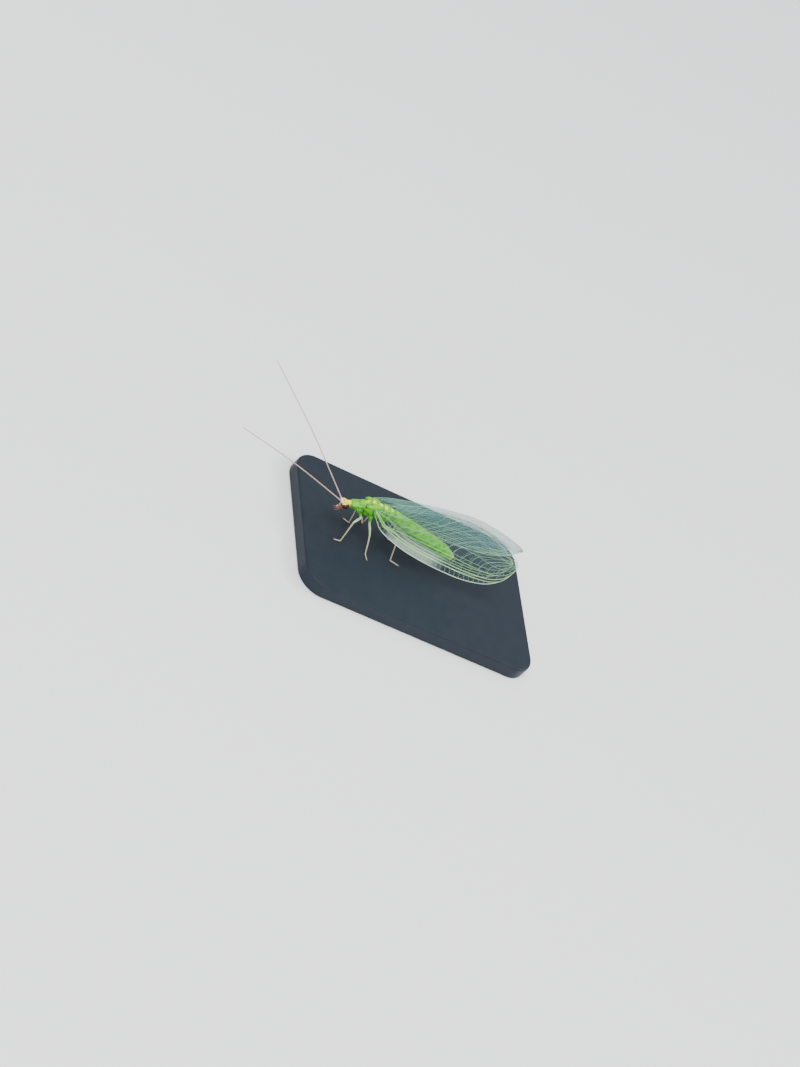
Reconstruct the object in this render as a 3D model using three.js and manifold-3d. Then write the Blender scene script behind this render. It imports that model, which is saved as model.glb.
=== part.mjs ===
// A green lacewing, life size, standing with its wings folded like a roof over
// its back and its two long antennae held forward, on a plain flat base.
//
// Millimetres. X runs to the insect's left, Y towards its tail and Z up. The
// body is laid out round the middle of the mesothorax, and at the end the whole
// model is lifted and centred so that the base rests on Z = 0.

import * as THREE from "three";
import { mergeVertices } from "three/addons/utils/BufferGeometryUtils.js";
import Module from "manifold-3d";

// Clearances and plate thickness.
const gap = 0.3;
const eyeGap = 0.15;
const wingThickness = 0.48;
const wingTipThickness = 0.3;
const foreWingVeinHeight = 0.13;
const hindWingVeinHeight = 0.08;
const branchVeinShare = 0.75;

// Heights of the feet and of the base under them.
const feetBelowThorax = 3.0;
const baseThickness = 1.2;
const baseHalfWidth = 7;
const baseFront = -4.6;
const baseBack = 17.2;
const baseCorner = 1.8;
const baseBevel = 0.15;

// Head: a short capsule with a face that hangs down to the mouth.
const headCentre = [0, -2.36, -0.83];
const headHalf = [0.37, 0.36, 0.43];
const headPitch = 0.3;
const eyeCentreX = 0.32;
const eyeRadius = 0.3;
const eyeForward = 0.02;
const eyeUp = 0.03;

// Antennae: nearly straight, the left one higher in front, the right one out.
const antennaBase = [0.38, -3.17, -0.6];
const antennaThickness = 0.44;
const antennaTipThickness = 0.26;
const leftAntennaTip = [1.09, -14.16, 2.61];
const rightAntennaTip = [-5.5, -12.0, 4.55];
const antennaBow = 0.25;

// Trunk: [front y, front z, back y, back z, half width, half height].
const prothoraxSpan = [-1.75, -0.61, -1.12, -0.29, 0.42, 0.4];
const mesothoraxSpan = [-0.74, -0.06, 0.4, 0.02, 0.66, 0.6];
const metathoraxSpan = [0.72, 0.03, 1.58, 0, 0.55, 0.54];
const abdomenSpan = [1.92, -0.08, 8.35, -1.32, 0.49, 0.56];
const abdomenSegments = 9;

// Legs of the left side, as hip, trochanter, knee, ankle and toe.
const legThickness = 0.5;
const toeThickness = 0.34;
const foreLeg = {
  hip: [0.44, -1.34, -1.3],
  trochanter: [0.55, -0.85, -1.55],
  knee: [1.35, -1.45, -1.3],
  ankle: [1.42, -1.2, -2.72],
  toe: [1.5, -1.75, -2.86],
};
const midLeg = {
  hip: [0.46, 0.0, -1.1],
  trochanter: [0.58, 0.22, -1.5],
  knee: [1.15, 0.72, -2.0],
  ankle: [1.55, 1.1, -2.72],
  toe: [2.15, 1.2, -2.86],
};
const hindLeg = {
  hip: [0.42, 1.1, -1.08],
  trochanter: [0.48, 1.5, -1.35],
  knee: [0.6, 2.9, -1.6],
  ankle: [1.08, 3.6, -2.72],
  toe: [1.25, 4.3, -2.86],
};
const rightForeLeg = {
  hip: [0.44, -1.34, -1.3],
  trochanter: [0.52, -0.85, -1.55],
  knee: [0.95, -0.95, -1.35],
  ankle: [1.08, -0.1, -2.72],
  toe: [1.2, -0.55, -2.86],
};

// Wings of the left side. Each rail runs from the root to the tip: the costal
// rail is the lower edge and the hind rail meets its mirror along the ridge.
const foreWing = {
  costal: [
    [1.28, -0.35, -0.05],
    [1.72, 0.5, -0.7],
    [2.0, 1.6, -1.3],
    [2.1, 3.4, -1.64],
    [2.1, 6.0, -1.7],
    [2.15, 9.1, -1.6],
    [1.95, 11.3, -0.95],
    [1.5, 12.42, 0.45],
    [1.33, 12.6, 1.0],
  ],
  hind: [
    [1.26, -0.3, 0.42],
    [1.47, 0.5, 0.92],
    [1.46, 1.5, 1.35],
    [0.84, 3.2, 2.05],
    [0.42, 5.2, 2.6],
    [0.42, 7.6, 2.98],
    [0.45, 9.8, 2.72],
    [0.78, 11.6, 2.2],
    [1.12, 12.5, 1.5],
  ],
  bulge: 0.34,
  veinHeight: foreWingVeinHeight,
};
const hindWing = {
  costal: [
    [1.09, 0.9, -0.2],
    [1.07, 1.9, -0.62],
    [1.08, 3.2, -1.0],
    [1.14, 5.2, -1.28],
    [1.14, 8.0, -1.26],
    [1.04, 10.2, -0.86],
    [0.8, 11.6, -0.1],
    [0.62, 12.1, 0.6],
  ],
  hind: [
    [1.06, 0.95, 0.22],
    [0.9, 1.9, 0.45],
    [0.62, 3.2, 0.85],
    [0.47, 5.2, 1.12],
    [0.46, 7.6, 1.33],
    [0.43, 9.6, 1.3],
    [0.43, 11.2, 1.16],
    [0.54, 12.0, 0.95],
  ],
  bulge: 0.12,
  veinHeight: hindWingVeinHeight,
};

// The right forewing lies a little further back and higher than the left one.
const rightWingSlide = 0.6;
const rightWingLift = 0.22;
const rightWingLean = 0.2;

// Where the lengthwise veins lie across a wing, from the costal edge (0) to the
// hind edge (1): the subcosta with the radius, the radial sector, and two lines
// of stepped veins. The sector's branches sweep back between them to the edge.
const lengthwiseVeins = [0.13, 0.32, 0.54, 0.77];
const veinHalfWidth = 0.032;
const branchVeins = 10;
const branchHalfWidth = 0.016;
const branchSweep = 0.17;

const wasm = await Module();
wasm.setup();

const colours = {
  green: 0x6fae2a,
  darkGreen: 0x5d8f2a,
  face: 0x7a3b22,
  eye: 0x1a0f0d,
  antenna: 0xc9a98c,
  leg: 0xa9c887,
  wing: 0xbfe3c6,
  base: 0x25282c,
};

// A MeshStandardMaterial for one kind of surface.
function finish(colour, roughness) {
  return new THREE.MeshStandardMaterial({ color: colour, roughness, metalness: 0 });
}

// A closed mesh from vertices and triangles.
function geometryFrom(points, triangles) {
  const geometry = new THREE.BufferGeometry();
  const flat = points.flatMap((point) => [point.x, point.y, point.z]);
  geometry.setAttribute("position", new THREE.Float32BufferAttribute(flat, 3));
  geometry.setIndex(triangles.flat());
  return geometry;
}

// Turns a closed geometry into a solid for joining and cutting.
function solid(geometry) {
  const bare = geometry.clone();
  bare.deleteAttribute("normal");
  bare.deleteAttribute("uv");
  const merged = mergeVertices(bare, 1e-5);
  const vertProperties = new Float32Array(merged.attributes.position.array);
  const triVerts = new Uint32Array(merged.index.array);
  return new wasm.Manifold(new wasm.Mesh({ numProp: 3, vertProperties, triVerts }));
}

// Gives a solid's largest closed surface back as a geometry.
function largestSurface(joined) {
  const pieces = joined.decompose();
  pieces.sort((a, b) => b.volume() - a.volume());
  const mesh = pieces[0].getMesh();
  const geometry = new THREE.BufferGeometry();
  geometry.setAttribute("position", new THREE.Float32BufferAttribute(mesh.vertProperties, 3));
  geometry.setIndex(new THREE.Uint32BufferAttribute(mesh.triVerts, 1));
  return geometry;
}

// Joins closed geometries into one.
function join(...geometries) {
  let joined = solid(geometries[0]);
  for (const geometry of geometries.slice(1)) {
    joined = joined.add(solid(geometry));
  }
  return largestSurface(joined);
}

// Cuts the second geometry out of the first.
function cut(geometry, tool) {
  return largestSurface(solid(geometry).subtract(solid(tool)));
}

// Closes a stack of rings, each with the same number of points, into one body.
function loft(rings) {
  const sides = rings[0].length;
  const points = rings.flat();
  const triangles = [];
  for (let ring = 0; ring < rings.length - 1; ring += 1) {
    for (let side = 0; side < sides; side += 1) {
      const next = (side + 1) % sides;
      const a = ring * sides + side;
      const b = ring * sides + next;
      const c = (ring + 1) * sides + next;
      const d = (ring + 1) * sides + side;
      triangles.push([a, b, c], [a, c, d]);
    }
  }
  const lastRing = (rings.length - 1) * sides;
  const startCentre = points.length;
  const endCentre = points.length + 1;
  points.push(centreOf(rings[0]), centreOf(rings[rings.length - 1]));
  for (let side = 0; side < sides; side += 1) {
    const next = (side + 1) % sides;
    triangles.push([startCentre, next, side]);
    triangles.push([endCentre, lastRing + side, lastRing + next]);
  }
  return geometryFrom(points, triangles);
}

function centreOf(ring) {
  const centre = new THREE.Vector3();
  ring.forEach((point) => centre.add(point));
  return centre.divideScalar(ring.length);
}

// A ring of points square to a direction. Its width lies along X where it can.
function ringAt(centre, direction, halfWidth, halfHeight, sides) {
  const forward = direction.clone().normalize();
  const sideways = new THREE.Vector3(1, 0, 0);
  sideways.addScaledVector(forward, -sideways.dot(forward)).normalize();
  const upward = new THREE.Vector3().crossVectors(forward, sideways);
  const ring = [];
  for (let side = 0; side < sides; side += 1) {
    const angle = (side / sides) * Math.PI * 2;
    const point = centre.clone();
    point.addScaledVector(sideways, Math.cos(angle) * halfWidth);
    point.addScaledVector(upward, Math.sin(angle) * halfHeight);
    ring.push(point);
  }
  return ring;
}

function vector(place) {
  return new THREE.Vector3(...place);
}

// The same place on the other side of the body.
function mirrored(place) {
  return [-place[0], place[1], place[2]];
}

// A barrel between two points of the body's middle plane, with blunt ends.
// fullness(t) gives its size along the way as a share of the half sizes.
function barrel(span, fullness, steps, sides) {
  const [frontY, frontZ, backY, backZ, halfWidth, halfHeight] = span;
  const front = new THREE.Vector3(0, frontY, frontZ);
  const back = new THREE.Vector3(0, backY, backZ);
  const direction = back.clone().sub(front);
  const rings = [];
  for (let step = 0; step <= steps; step += 1) {
    const t = step / steps;
    const size = fullness(t);
    const centre = front.clone().lerp(back, t);
    rings.push(ringAt(centre, direction, halfWidth * size, halfHeight * size, sides));
  }
  return loft(rings);
}

// A rod with round ends, tapering from one thickness to another.
function limb(start, end, startRadius, endRadius, sides) {
  const direction = end.clone().sub(start);
  const along = direction.clone().normalize();
  const rings = [];
  const capSteps = 2;
  for (let step = 0; step <= capSteps; step += 1) {
    const angle = (Math.PI / 2) * (0.3 + (0.7 * step) / capSteps);
    const centre = start.clone().addScaledVector(along, -Math.cos(angle) * startRadius);
    const radius = Math.sin(angle) * startRadius;
    rings.push(ringAt(centre, direction, radius, radius, sides));
  }
  for (let step = 0; step <= capSteps; step += 1) {
    const angle = (Math.PI / 2) * (1 - (0.7 * step) / capSteps);
    const centre = end.clone().addScaledVector(along, Math.cos(angle) * endRadius);
    const radius = Math.sin(angle) * endRadius;
    rings.push(ringAt(centre, direction, radius, radius, sides));
  }
  return loft(rings);
}

// An ellipsoid, turned about X and put in place.
function ellipsoid(half, centre, pitch, across, down) {
  const geometry = new THREE.SphereGeometry(1, across, down);
  geometry.scale(...half);
  geometry.rotateX(pitch);
  geometry.translate(...centre);
  return geometry;
}

// The head's pieces, each grown by the same clearance: capsule, face, antenna
// sockets, palps and jaws.
function headPieces(clearance) {
  const [, headY, headZ] = headCentre;
  const grown = headHalf.map((half) => half + clearance);
  const rod = (start, end, startRadius, endRadius, count) =>
    limb(vector(start), vector(end), startRadius + clearance, endRadius + clearance, count);
  const faceTop = [0, headY - 0.14, headZ - 0.1];
  const faceEnd = [0, headY - 0.36, headZ - 0.5];
  const pieces = [
    ellipsoid(grown, headCentre, headPitch, 16, 12),
    rod(faceTop, faceEnd, 0.28, 0.16, 12),
  ];
  for (const side of [-1, 1]) {
    const socketRoot = [side * 0.16, headY - 0.1, headZ + 0.12];
    const socketEnd = [side * 0.3, headY - 0.38, headZ + 0.2];
    const palpRoot = [side * 0.12, headY - 0.2, headZ - 0.4];
    const palpEnd = [side * 0.26, headY - 0.3, headZ - 0.72];
    const jawRoot = [side * 0.1, headY - 0.3, headZ - 0.4];
    const jawEnd = [side * 0.06, headY - 0.44, headZ - 0.62];
    pieces.push(rod(socketRoot, socketEnd, 0.14, 0.12, 8));
    pieces.push(rod(palpRoot, palpEnd, 0.09, 0.06, 6));
    pieces.push(rod(jawRoot, jawEnd, 0.09, 0.05, 6));
  }
  return pieces;
}

function headGeometry() {
  return join(...headPieces(0));
}

// A compound eye: a dome that sits a little off the side of the head.
function eyeGeometry(side) {
  const [, headY, headZ] = headCentre;
  const centre = [side * eyeCentreX, headY + eyeForward, headZ + eyeUp];
  const dome = ellipsoid([eyeRadius, eyeRadius, eyeRadius * 1.1], centre, 0, 14, 10);
  return cut(dome, join(...headPieces(eyeGap)));
}

// An antenna: a long rod that tapers and bows a little upwards.
function antennaGeometry(base, tip) {
  const start = vector(base);
  const end = vector(tip);
  const middle = start.clone().lerp(end, 0.5);
  middle.z += antennaBow;
  const curve = new THREE.QuadraticBezierCurve3(start, middle, end);
  const steps = 14;
  const rings = [];
  for (let step = 0; step <= steps; step += 1) {
    const t = step / steps;
    const radius = THREE.MathUtils.lerp(antennaThickness, antennaTipThickness, t) / 2;
    rings.push(ringAt(curve.getPoint(t), curve.getTangent(t), radius, radius, 8));
  }
  return loft(rings);
}

function trunkFullness(endSize, power) {
  return (t) => endSize + (1 - endSize) * Math.sin(Math.PI * t) ** power;
}

// The abdomen swells a little in each of its segments and tapers to the tail.
function abdomenFullness(t) {
  const rise = THREE.MathUtils.smoothstep(t, -0.2, 0.3);
  const fall = 1 - 0.45 * THREE.MathUtils.smoothstep(t, 0.75, 1.04);
  const segment = 1 - 0.05 * (1 - Math.abs(Math.sin(Math.PI * t * abdomenSegments)));
  return (0.62 + 0.38 * rise) * fall * segment;
}

function mesothoraxGeometry() {
  const trunk = barrel(mesothoraxSpan, trunkFullness(0.62, 0.5), 7, 16);
  const pieces = [trunk];
  for (const side of [-1, 1]) {
    pieces.push(ellipsoid([0.27, 0.42, 0.2], [side * 0.26, -0.25, 0.5], 0.1, 12, 8));
  }
  pieces.push(ellipsoid([0.22, 0.25, 0.18], [0, 0.12, 0.52], 0, 12, 8));
  return join(...pieces);
}

function metathoraxGeometry() {
  const trunk = barrel(metathoraxSpan, trunkFullness(0.66, 0.5), 5, 16);
  const pieces = [trunk];
  for (const side of [-1, 1]) {
    pieces.push(ellipsoid([0.22, 0.3, 0.16], [side * 0.22, 1.05, 0.45], 0, 12, 8));
  }
  return join(...pieces);
}

// A leg: hip to trochanter to knee to ankle, and a foot laid on the ground.
function legGeometry(leg, side) {
  const radius = legThickness / 2;
  const toeRadius = toeThickness / 2;
  const place = (point) => vector(side > 0 ? point : mirrored(point));
  const joints = [leg.hip, leg.trochanter, leg.knee, leg.ankle, leg.toe].map(place);
  const radii = [radius * 1.08, radius, radius, radius * 0.9, toeRadius];
  const pieces = [];
  for (let index = 0; index < joints.length - 1; index += 1) {
    pieces.push(limb(joints[index], joints[index + 1], radii[index], radii[index + 1], 7));
  }
  const joined = join(...pieces);
  const ground = new THREE.BoxGeometry(4, 4, 2);
  ground.translate(joints[3].x, joints[3].y, -feetBelowThorax - 1);
  return cut(joined, ground);
}

// Places across the wing: the two edges, and a foot, crest and foot at each vein.
// Each gives how far it is raised, as a share of the wing's vein height.
function acrossWing() {
  const lines = [{ place: 0, raised: 0.7 }];
  for (const vein of lengthwiseVeins) {
    lines.push({ place: vein - veinHalfWidth, raised: 0 });
    lines.push({ place: vein, raised: 1 });
    lines.push({ place: vein + veinHalfWidth, raised: 0 });
  }
  lines.push({ place: 0.9, raised: 0 });
  lines.push({ place: 1, raised: 0 });
  return lines;
}

// Places along the wing: the two ends, and a foot, crest and foot at each branch.
function alongWing() {
  const lines = [{ place: 0, raised: 0 }];
  for (let branch = 1; branch <= branchVeins; branch += 1) {
    const place = branch / (branchVeins + 1);
    lines.push({ place: place - branchHalfWidth, raised: 0 });
    lines.push({ place, raised: branchVeinShare });
    lines.push({ place: place + branchHalfWidth, raised: 0 });
  }
  lines.push({ place: 1 - branchHalfWidth, raised: 0 });
  lines.push({ place: 1, raised: 0 });
  return lines;
}

// A wing: a thin cambered plate between its two rails, with the veins raised in
// its outer face. Both faces are split into triangles alike.
function wingGeometry(wing, side) {
  const place = (point) => vector(side > 0 ? point : mirrored(point));
  const costal = new THREE.CatmullRomCurve3(wing.costal.map(place));
  const hind = new THREE.CatmullRomCurve3(wing.hind.map(place));
  const across = acrossWing();
  const along = alongWing();
  const rows = along.map((row) =>
    across.map((column) => {
      const swept = THREE.MathUtils.smoothstep(column.place, lengthwiseVeins[0], 1);
      const share = row.place + branchSweep * Math.sin(Math.PI * row.place) * swept;
      const rise = THREE.MathUtils.smoothstep(share, -0.1, 0.12);
      const fall = 1 - THREE.MathUtils.smoothstep(share, 0.85, 1);
      const bulge = wing.bulge * rise * fall * 4 * column.place * (1 - column.place);
      const point = costal.getPointAt(share).lerp(hind.getPointAt(share), column.place);
      point.x += side * bulge;
      return point;
    }),
  );
  const outer = [];
  const inner = [];
  along.forEach((row, station) => {
    const taper = THREE.MathUtils.smoothstep(row.place, 0.8, 1);
    const half = THREE.MathUtils.lerp(wingThickness, wingTipThickness, taper) / 2;
    across.forEach((column, index) => {
      const normal = sheetNormal(rows, station, index, side);
      const raised = wing.veinHeight * Math.max(column.raised, row.raised) * (1 - taper);
      outer.push(rows[station][index].clone().addScaledVector(normal, half + raised));
      inner.push(rows[station][index].clone().addScaledVector(normal, -half));
    });
  });
  return sheet(outer, inner, along.length, across.length, side);
}

// The right forewing's place for a place on the left one, before it is mirrored.
function laidBack([x, y, z]) {
  const share = THREE.MathUtils.smoothstep(y, 0, 13);
  const nearTip = THREE.MathUtils.smoothstep(y, 10, 13);
  return [x - rightWingLean * nearTip, y + rightWingSlide * share, z + rightWingLift * share];
}

// The outward direction of the sheet at one of its points.
function sheetNormal(rows, row, column, side) {
  const lastRow = rows.length - 1;
  const lastColumn = rows[0].length - 1;
  const before = rows[Math.max(row - 1, 0)][column];
  const after = rows[Math.min(row + 1, lastRow)][column];
  const below = rows[row][Math.max(column - 1, 0)];
  const above = rows[row][Math.min(column + 1, lastColumn)];
  const lengthwise = after.clone().sub(before);
  const crosswise = above.clone().sub(below);
  return lengthwise.cross(crosswise).multiplyScalar(side).normalize();
}

// Closes two faces of a grid of points with a rim.
function sheet(outer, inner, rowCount, columnCount, side) {
  const points = [...outer, ...inner];
  const offset = outer.length;
  const triangles = [];
  const add = (a, b, c) => triangles.push(side > 0 ? [a, b, c] : [a, c, b]);
  const addQuad = (a, b, c, d) => {
    add(a, b, c);
    add(a, c, d);
  };
  for (let row = 0; row < rowCount - 1; row += 1) {
    for (let column = 0; column < columnCount - 1; column += 1) {
      const a = row * columnCount + column;
      const b = a + columnCount;
      const c = b + 1;
      const d = a + 1;
      addQuad(a, b, c, d);
      add(offset + a, offset + c, offset + b);
      add(offset + a, offset + d, offset + c);
    }
  }
  const last = columnCount - 1;
  for (let row = 0; row < rowCount - 1; row += 1) {
    const low = row * columnCount;
    const nextLow = low + columnCount;
    addQuad(low, offset + low, offset + nextLow, nextLow);
    addQuad(low + last, nextLow + last, offset + nextLow + last, offset + low + last);
  }
  const end = (rowCount - 1) * columnCount;
  for (let column = 0; column < last; column += 1) {
    addQuad(column, column + 1, offset + column + 1, offset + column);
    addQuad(end + column, offset + end + column, offset + end + column + 1, end + column + 1);
  }
  return geometryFrom(points, triangles);
}

// The base: a flat plate with rounded corners, a gap below the feet.
function baseGeometry() {
  const outline = new THREE.Shape();
  const left = -baseHalfWidth + baseBevel;
  const right = baseHalfWidth - baseBevel;
  const front = baseFront + baseBevel;
  const back = baseBack - baseBevel;
  outline.moveTo(left + baseCorner, front);
  outline.lineTo(right - baseCorner, front);
  outline.absarc(right - baseCorner, front + baseCorner, baseCorner, -Math.PI / 2, 0);
  outline.lineTo(right, back - baseCorner);
  outline.absarc(right - baseCorner, back - baseCorner, baseCorner, 0, Math.PI / 2);
  outline.lineTo(left + baseCorner, back);
  outline.absarc(left + baseCorner, back - baseCorner, baseCorner, Math.PI / 2, Math.PI);
  outline.lineTo(left, front + baseCorner);
  outline.absarc(left + baseCorner, front + baseCorner, baseCorner, Math.PI, Math.PI * 1.5);
  const geometry = new THREE.ExtrudeGeometry(outline, {
    depth: baseThickness - 2 * baseBevel,
    bevelEnabled: true,
    bevelThickness: baseBevel,
    bevelSize: baseBevel,
    bevelSegments: 1,
    curveSegments: 3,
  });
  geometry.translate(0, 0, -feetBelowThorax - gap - baseThickness + baseBevel);
  return geometry;
}

const insect = new THREE.Group();

function addNode(name, geometry, material) {
  const mesh = new THREE.Mesh(geometry, material);
  mesh.name = name;
  insect.add(mesh);
}

const sides = [
  ["left", 1],
  ["right", -1],
];

addNode("head", headGeometry(), finish(colours.face, 0.5));
addNode("prothorax", barrel(prothoraxSpan, trunkFullness(0.82, 0.6), 6, 20), finish(colours.darkGreen, 0.55));
addNode("mesothorax", mesothoraxGeometry(), finish(colours.darkGreen, 0.55));
addNode("metathorax", metathoraxGeometry(), finish(colours.darkGreen, 0.55));
addNode("abdomen", barrel(abdomenSpan, abdomenFullness, 27, 14), finish(colours.green, 0.5));
const rightForeWing = {
  costal: foreWing.costal.map(laidBack),
  hind: foreWing.hind.map(laidBack),
  bulge: foreWing.bulge,
  veinHeight: foreWing.veinHeight,
};
for (const [word, side] of sides) {
  const ownForeWing = side > 0 ? foreWing : rightForeWing;
  const antennaRoot = side > 0 ? antennaBase : mirrored(antennaBase);
  const antennaTip = side > 0 ? leftAntennaTip : rightAntennaTip;
  addNode(`eye_${word}`, eyeGeometry(side), finish(colours.eye, 0.2));
  addNode(`antenna_${word}`, antennaGeometry(antennaRoot, antennaTip), finish(colours.antenna, 0.6));
  addNode(`foreleg_${word}`, legGeometry(side > 0 ? foreLeg : rightForeLeg, side), finish(colours.leg, 0.5));
  addNode(`midleg_${word}`, legGeometry(midLeg, side), finish(colours.leg, 0.5));
  addNode(`hindleg_${word}`, legGeometry(hindLeg, side), finish(colours.leg, 0.5));
  addNode(`forewing_${word}`, wingGeometry(ownForeWing, side), finish(colours.wing, 0.25));
  addNode(`hindwing_${word}`, wingGeometry(hindWing, side), finish(colours.wing, 0.25));
}
addNode("stand_base", baseGeometry(), finish(colours.base, 0.3));

// Rest the base on the ground and centre the whole over the origin.
const extent = new THREE.Box3().setFromObject(insect, true);
insect.position.set(
  -(extent.min.x + extent.max.x) / 2,
  -(extent.min.y + extent.max.y) / 2,
  -extent.min.z,
);

const lacewing = new THREE.Group();
lacewing.add(insect);

export default lacewing;
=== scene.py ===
# %% [markdown]
# # A green lacewing, life size
#
# The insect stands with its wings folded like a roof over its back and its two
# long antennae held forward. Its body is soft and vivid green, the wings are
# clear sheets on a net of fine green veins, and the whole stands on a thin
# plain base. The solid model is loaded first as a fixed frame, and every new
# piece is modelled in place over it.

# %% Load the frame
import math

import bpy
import numpy as np
from mathutils import Matrix, Vector, noise


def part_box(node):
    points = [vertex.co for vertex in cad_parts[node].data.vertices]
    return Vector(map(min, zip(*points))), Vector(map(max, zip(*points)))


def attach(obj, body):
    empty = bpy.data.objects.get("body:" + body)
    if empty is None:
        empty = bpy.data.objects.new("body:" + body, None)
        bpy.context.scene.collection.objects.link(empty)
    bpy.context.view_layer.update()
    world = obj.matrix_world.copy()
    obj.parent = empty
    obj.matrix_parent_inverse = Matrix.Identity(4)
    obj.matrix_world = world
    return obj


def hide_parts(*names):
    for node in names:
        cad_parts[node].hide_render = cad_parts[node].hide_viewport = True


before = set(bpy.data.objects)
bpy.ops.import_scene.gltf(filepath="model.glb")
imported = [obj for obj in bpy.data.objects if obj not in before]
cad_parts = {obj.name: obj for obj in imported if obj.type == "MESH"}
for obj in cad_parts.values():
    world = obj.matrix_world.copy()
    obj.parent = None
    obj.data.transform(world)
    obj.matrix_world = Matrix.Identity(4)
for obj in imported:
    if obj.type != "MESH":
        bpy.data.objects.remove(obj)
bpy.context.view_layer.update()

# %% [markdown]
# ## Where things are
#
# A lacewing's body is a centimetre long, too small for many of Blender's tools,
# so each piece is modelled with one Blender unit for one millimetre and shrunk to
# metres at the end. Places are given from the middle of the thorax, which stands
# a fixed way behind the base's front edge and above its top.

# %% Reference points
MM = 0.001
BASE_FRONT_TO_THORAX = 4.6
FEET_BELOW_THORAX = 3.3

base_low, base_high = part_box("stand_base")
thorax_y = base_low.y / MM + BASE_FRONT_TO_THORAX
base_top = base_high.z / MM
thorax_z = base_top + FEET_BELOW_THORAX


def at(x, y, z, side=1):
    """A place given from the middle of the thorax, in millimetres, mirrored on side -1."""
    return Vector((side * x, thorax_y + y, thorax_z + z))


print("middle of the thorax, mm:", tuple(round(v, 2) for v in at(0, 0, 0)))

# %% [markdown]
# ## Camera
#
# The insect is seen from its left front and a little above. The picture is also
# rolled, so that the base slopes down to the right. The camera's three axes are
# given in the insect's own frame, which sets the view and the roll at once.

# %% Camera
CAMERA_RIGHT = Vector((0.090, 0.796, 0.598)).normalized()
CAMERA_BACK = Vector((0.680, -0.488, 0.547))
CAMERA_BACK = (CAMERA_BACK - CAMERA_RIGHT * CAMERA_BACK.dot(CAMERA_RIGHT)).normalized()
CAMERA_UP = CAMERA_BACK.cross(CAMERA_RIGHT)
CAMERA_DISTANCE = 214.0
PICTURE_WIDTH = 800
PICTURE_HEIGHT = 1067
PIXELS_PER_MM = 13.1
THORAX_PIXEL = (376.0, 508.0)

right_of_thorax = (PICTURE_WIDTH / 2 - THORAX_PIXEL[0]) / PIXELS_PER_MM
above_thorax = (THORAX_PIXEL[1] - PICTURE_HEIGHT / 2) / PIXELS_PER_MM
camera_target = at(0, 0, 0) + CAMERA_RIGHT * right_of_thorax + CAMERA_UP * above_thorax

camera_data = bpy.data.cameras.new("camera")
camera_data.sensor_width = 36.0
focal_pixels = PIXELS_PER_MM * CAMERA_DISTANCE
camera_data.lens = focal_pixels * camera_data.sensor_width / PICTURE_HEIGHT
camera_data.clip_start = 0.005
camera_data.clip_end = 10.0
camera = bpy.data.objects.new("camera", camera_data)
bpy.context.scene.collection.objects.link(camera)
camera_turn = Matrix((CAMERA_RIGHT, CAMERA_UP, CAMERA_BACK)).transposed().to_4x4()
camera_place = (camera_target + CAMERA_BACK * CAMERA_DISTANCE) * MM
camera.matrix_world = Matrix.Translation(camera_place) @ camera_turn
bpy.context.scene.camera = camera
print("lens, mm:", round(camera_data.lens, 1))

# %% [markdown]
# ## Small helpers for modelling
#
# Operators act on whatever is selected, so everything is deselected before each
# one. `settle` shrinks a finished piece to metres and leaves its object at the
# origin with the place in the mesh.

# %% Helpers
def deselect():
    bpy.ops.object.select_all(action="DESELECT")


def make_active(piece):
    deselect()
    piece.select_set(True)
    bpy.context.view_layer.objects.active = piece


def change(piece, kind, **settings):
    """Adds a modifier with these settings and applies it."""
    make_active(piece)
    modifier = piece.modifiers.new(kind, kind)
    for name, value in settings.items():
        setattr(modifier, name, value)
    bpy.ops.object.modifier_apply(modifier=kind)


def join(pieces):
    make_active(pieces[0])
    for piece in pieces:
        piece.select_set(True)
    bpy.ops.object.join()
    bpy.ops.object.transform_apply()
    return bpy.context.object


def settle(piece, name, look, replaced=()):
    """Shrinks a piece to metres, gives it its name and finish, and hides the solid parts it
    replaces.
    """
    make_active(piece)
    piece.name = name
    piece.data.name = name
    piece.scale = piece.scale * MM
    piece.location = piece.location * MM
    bpy.ops.object.transform_apply()
    piece.data.materials.clear()
    piece.data.materials.append(look.material)
    bpy.ops.object.shade_smooth()
    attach(piece, "root")
    if replaced:
        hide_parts(*replaced)
    print(name, "triangles:", sum(len(face.vertices) - 2 for face in piece.data.polygons))
    return piece


def ball(centre, half, pitch=0.0, roll=0.0, segments=32, rings=20):
    """An ellipsoid, turned nose down by its pitch and to one side by its roll."""
    deselect()
    bpy.ops.mesh.primitive_uv_sphere_add(
        segments=segments, ring_count=rings, radius=1.0, location=centre,
        rotation=(pitch, roll, 0), scale=half,
    )
    return bpy.context.object


def rod(start, end, start_radius, end_radius, sides=20):
    """A tapered rod with a ball at each end."""
    way = end - start
    deselect()
    bpy.ops.mesh.primitive_cone_add(
        vertices=sides, radius1=start_radius, radius2=end_radius, depth=way.length,
        location=(start + end) / 2, rotation=way.to_track_quat("Z", "Y").to_euler(),
    )
    cone = bpy.context.object
    start_ball = ball(start, (start_radius,) * 3, segments=sides, rings=12)
    end_ball = ball(end, (end_radius,) * 3, segments=sides, rings=12)
    return join([cone, start_ball, end_ball])


def thread_curve(roundness):
    """An empty curve whose splines become round threads of their own radii."""
    curve = bpy.data.curves.new("threads", "CURVE")
    curve.dimensions = "3D"
    curve.bevel_depth = 1.0
    curve.bevel_resolution = roundness
    curve.use_fill_caps = True
    return curve


def add_thread(curve, points, radii):
    spline = curve.splines.new("POLY")
    spline.points.add(len(points) - 1)
    for spline_point, place, radius in zip(spline.points, points, radii):
        spline_point.co = (*place, 1.0)
        spline_point.radius = radius


def curve_to_mesh(curve):
    holder = bpy.data.objects.new("threads", curve)
    bpy.context.scene.collection.objects.link(holder)
    make_active(holder)
    bpy.ops.object.convert(target="MESH")
    return bpy.context.object


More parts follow.
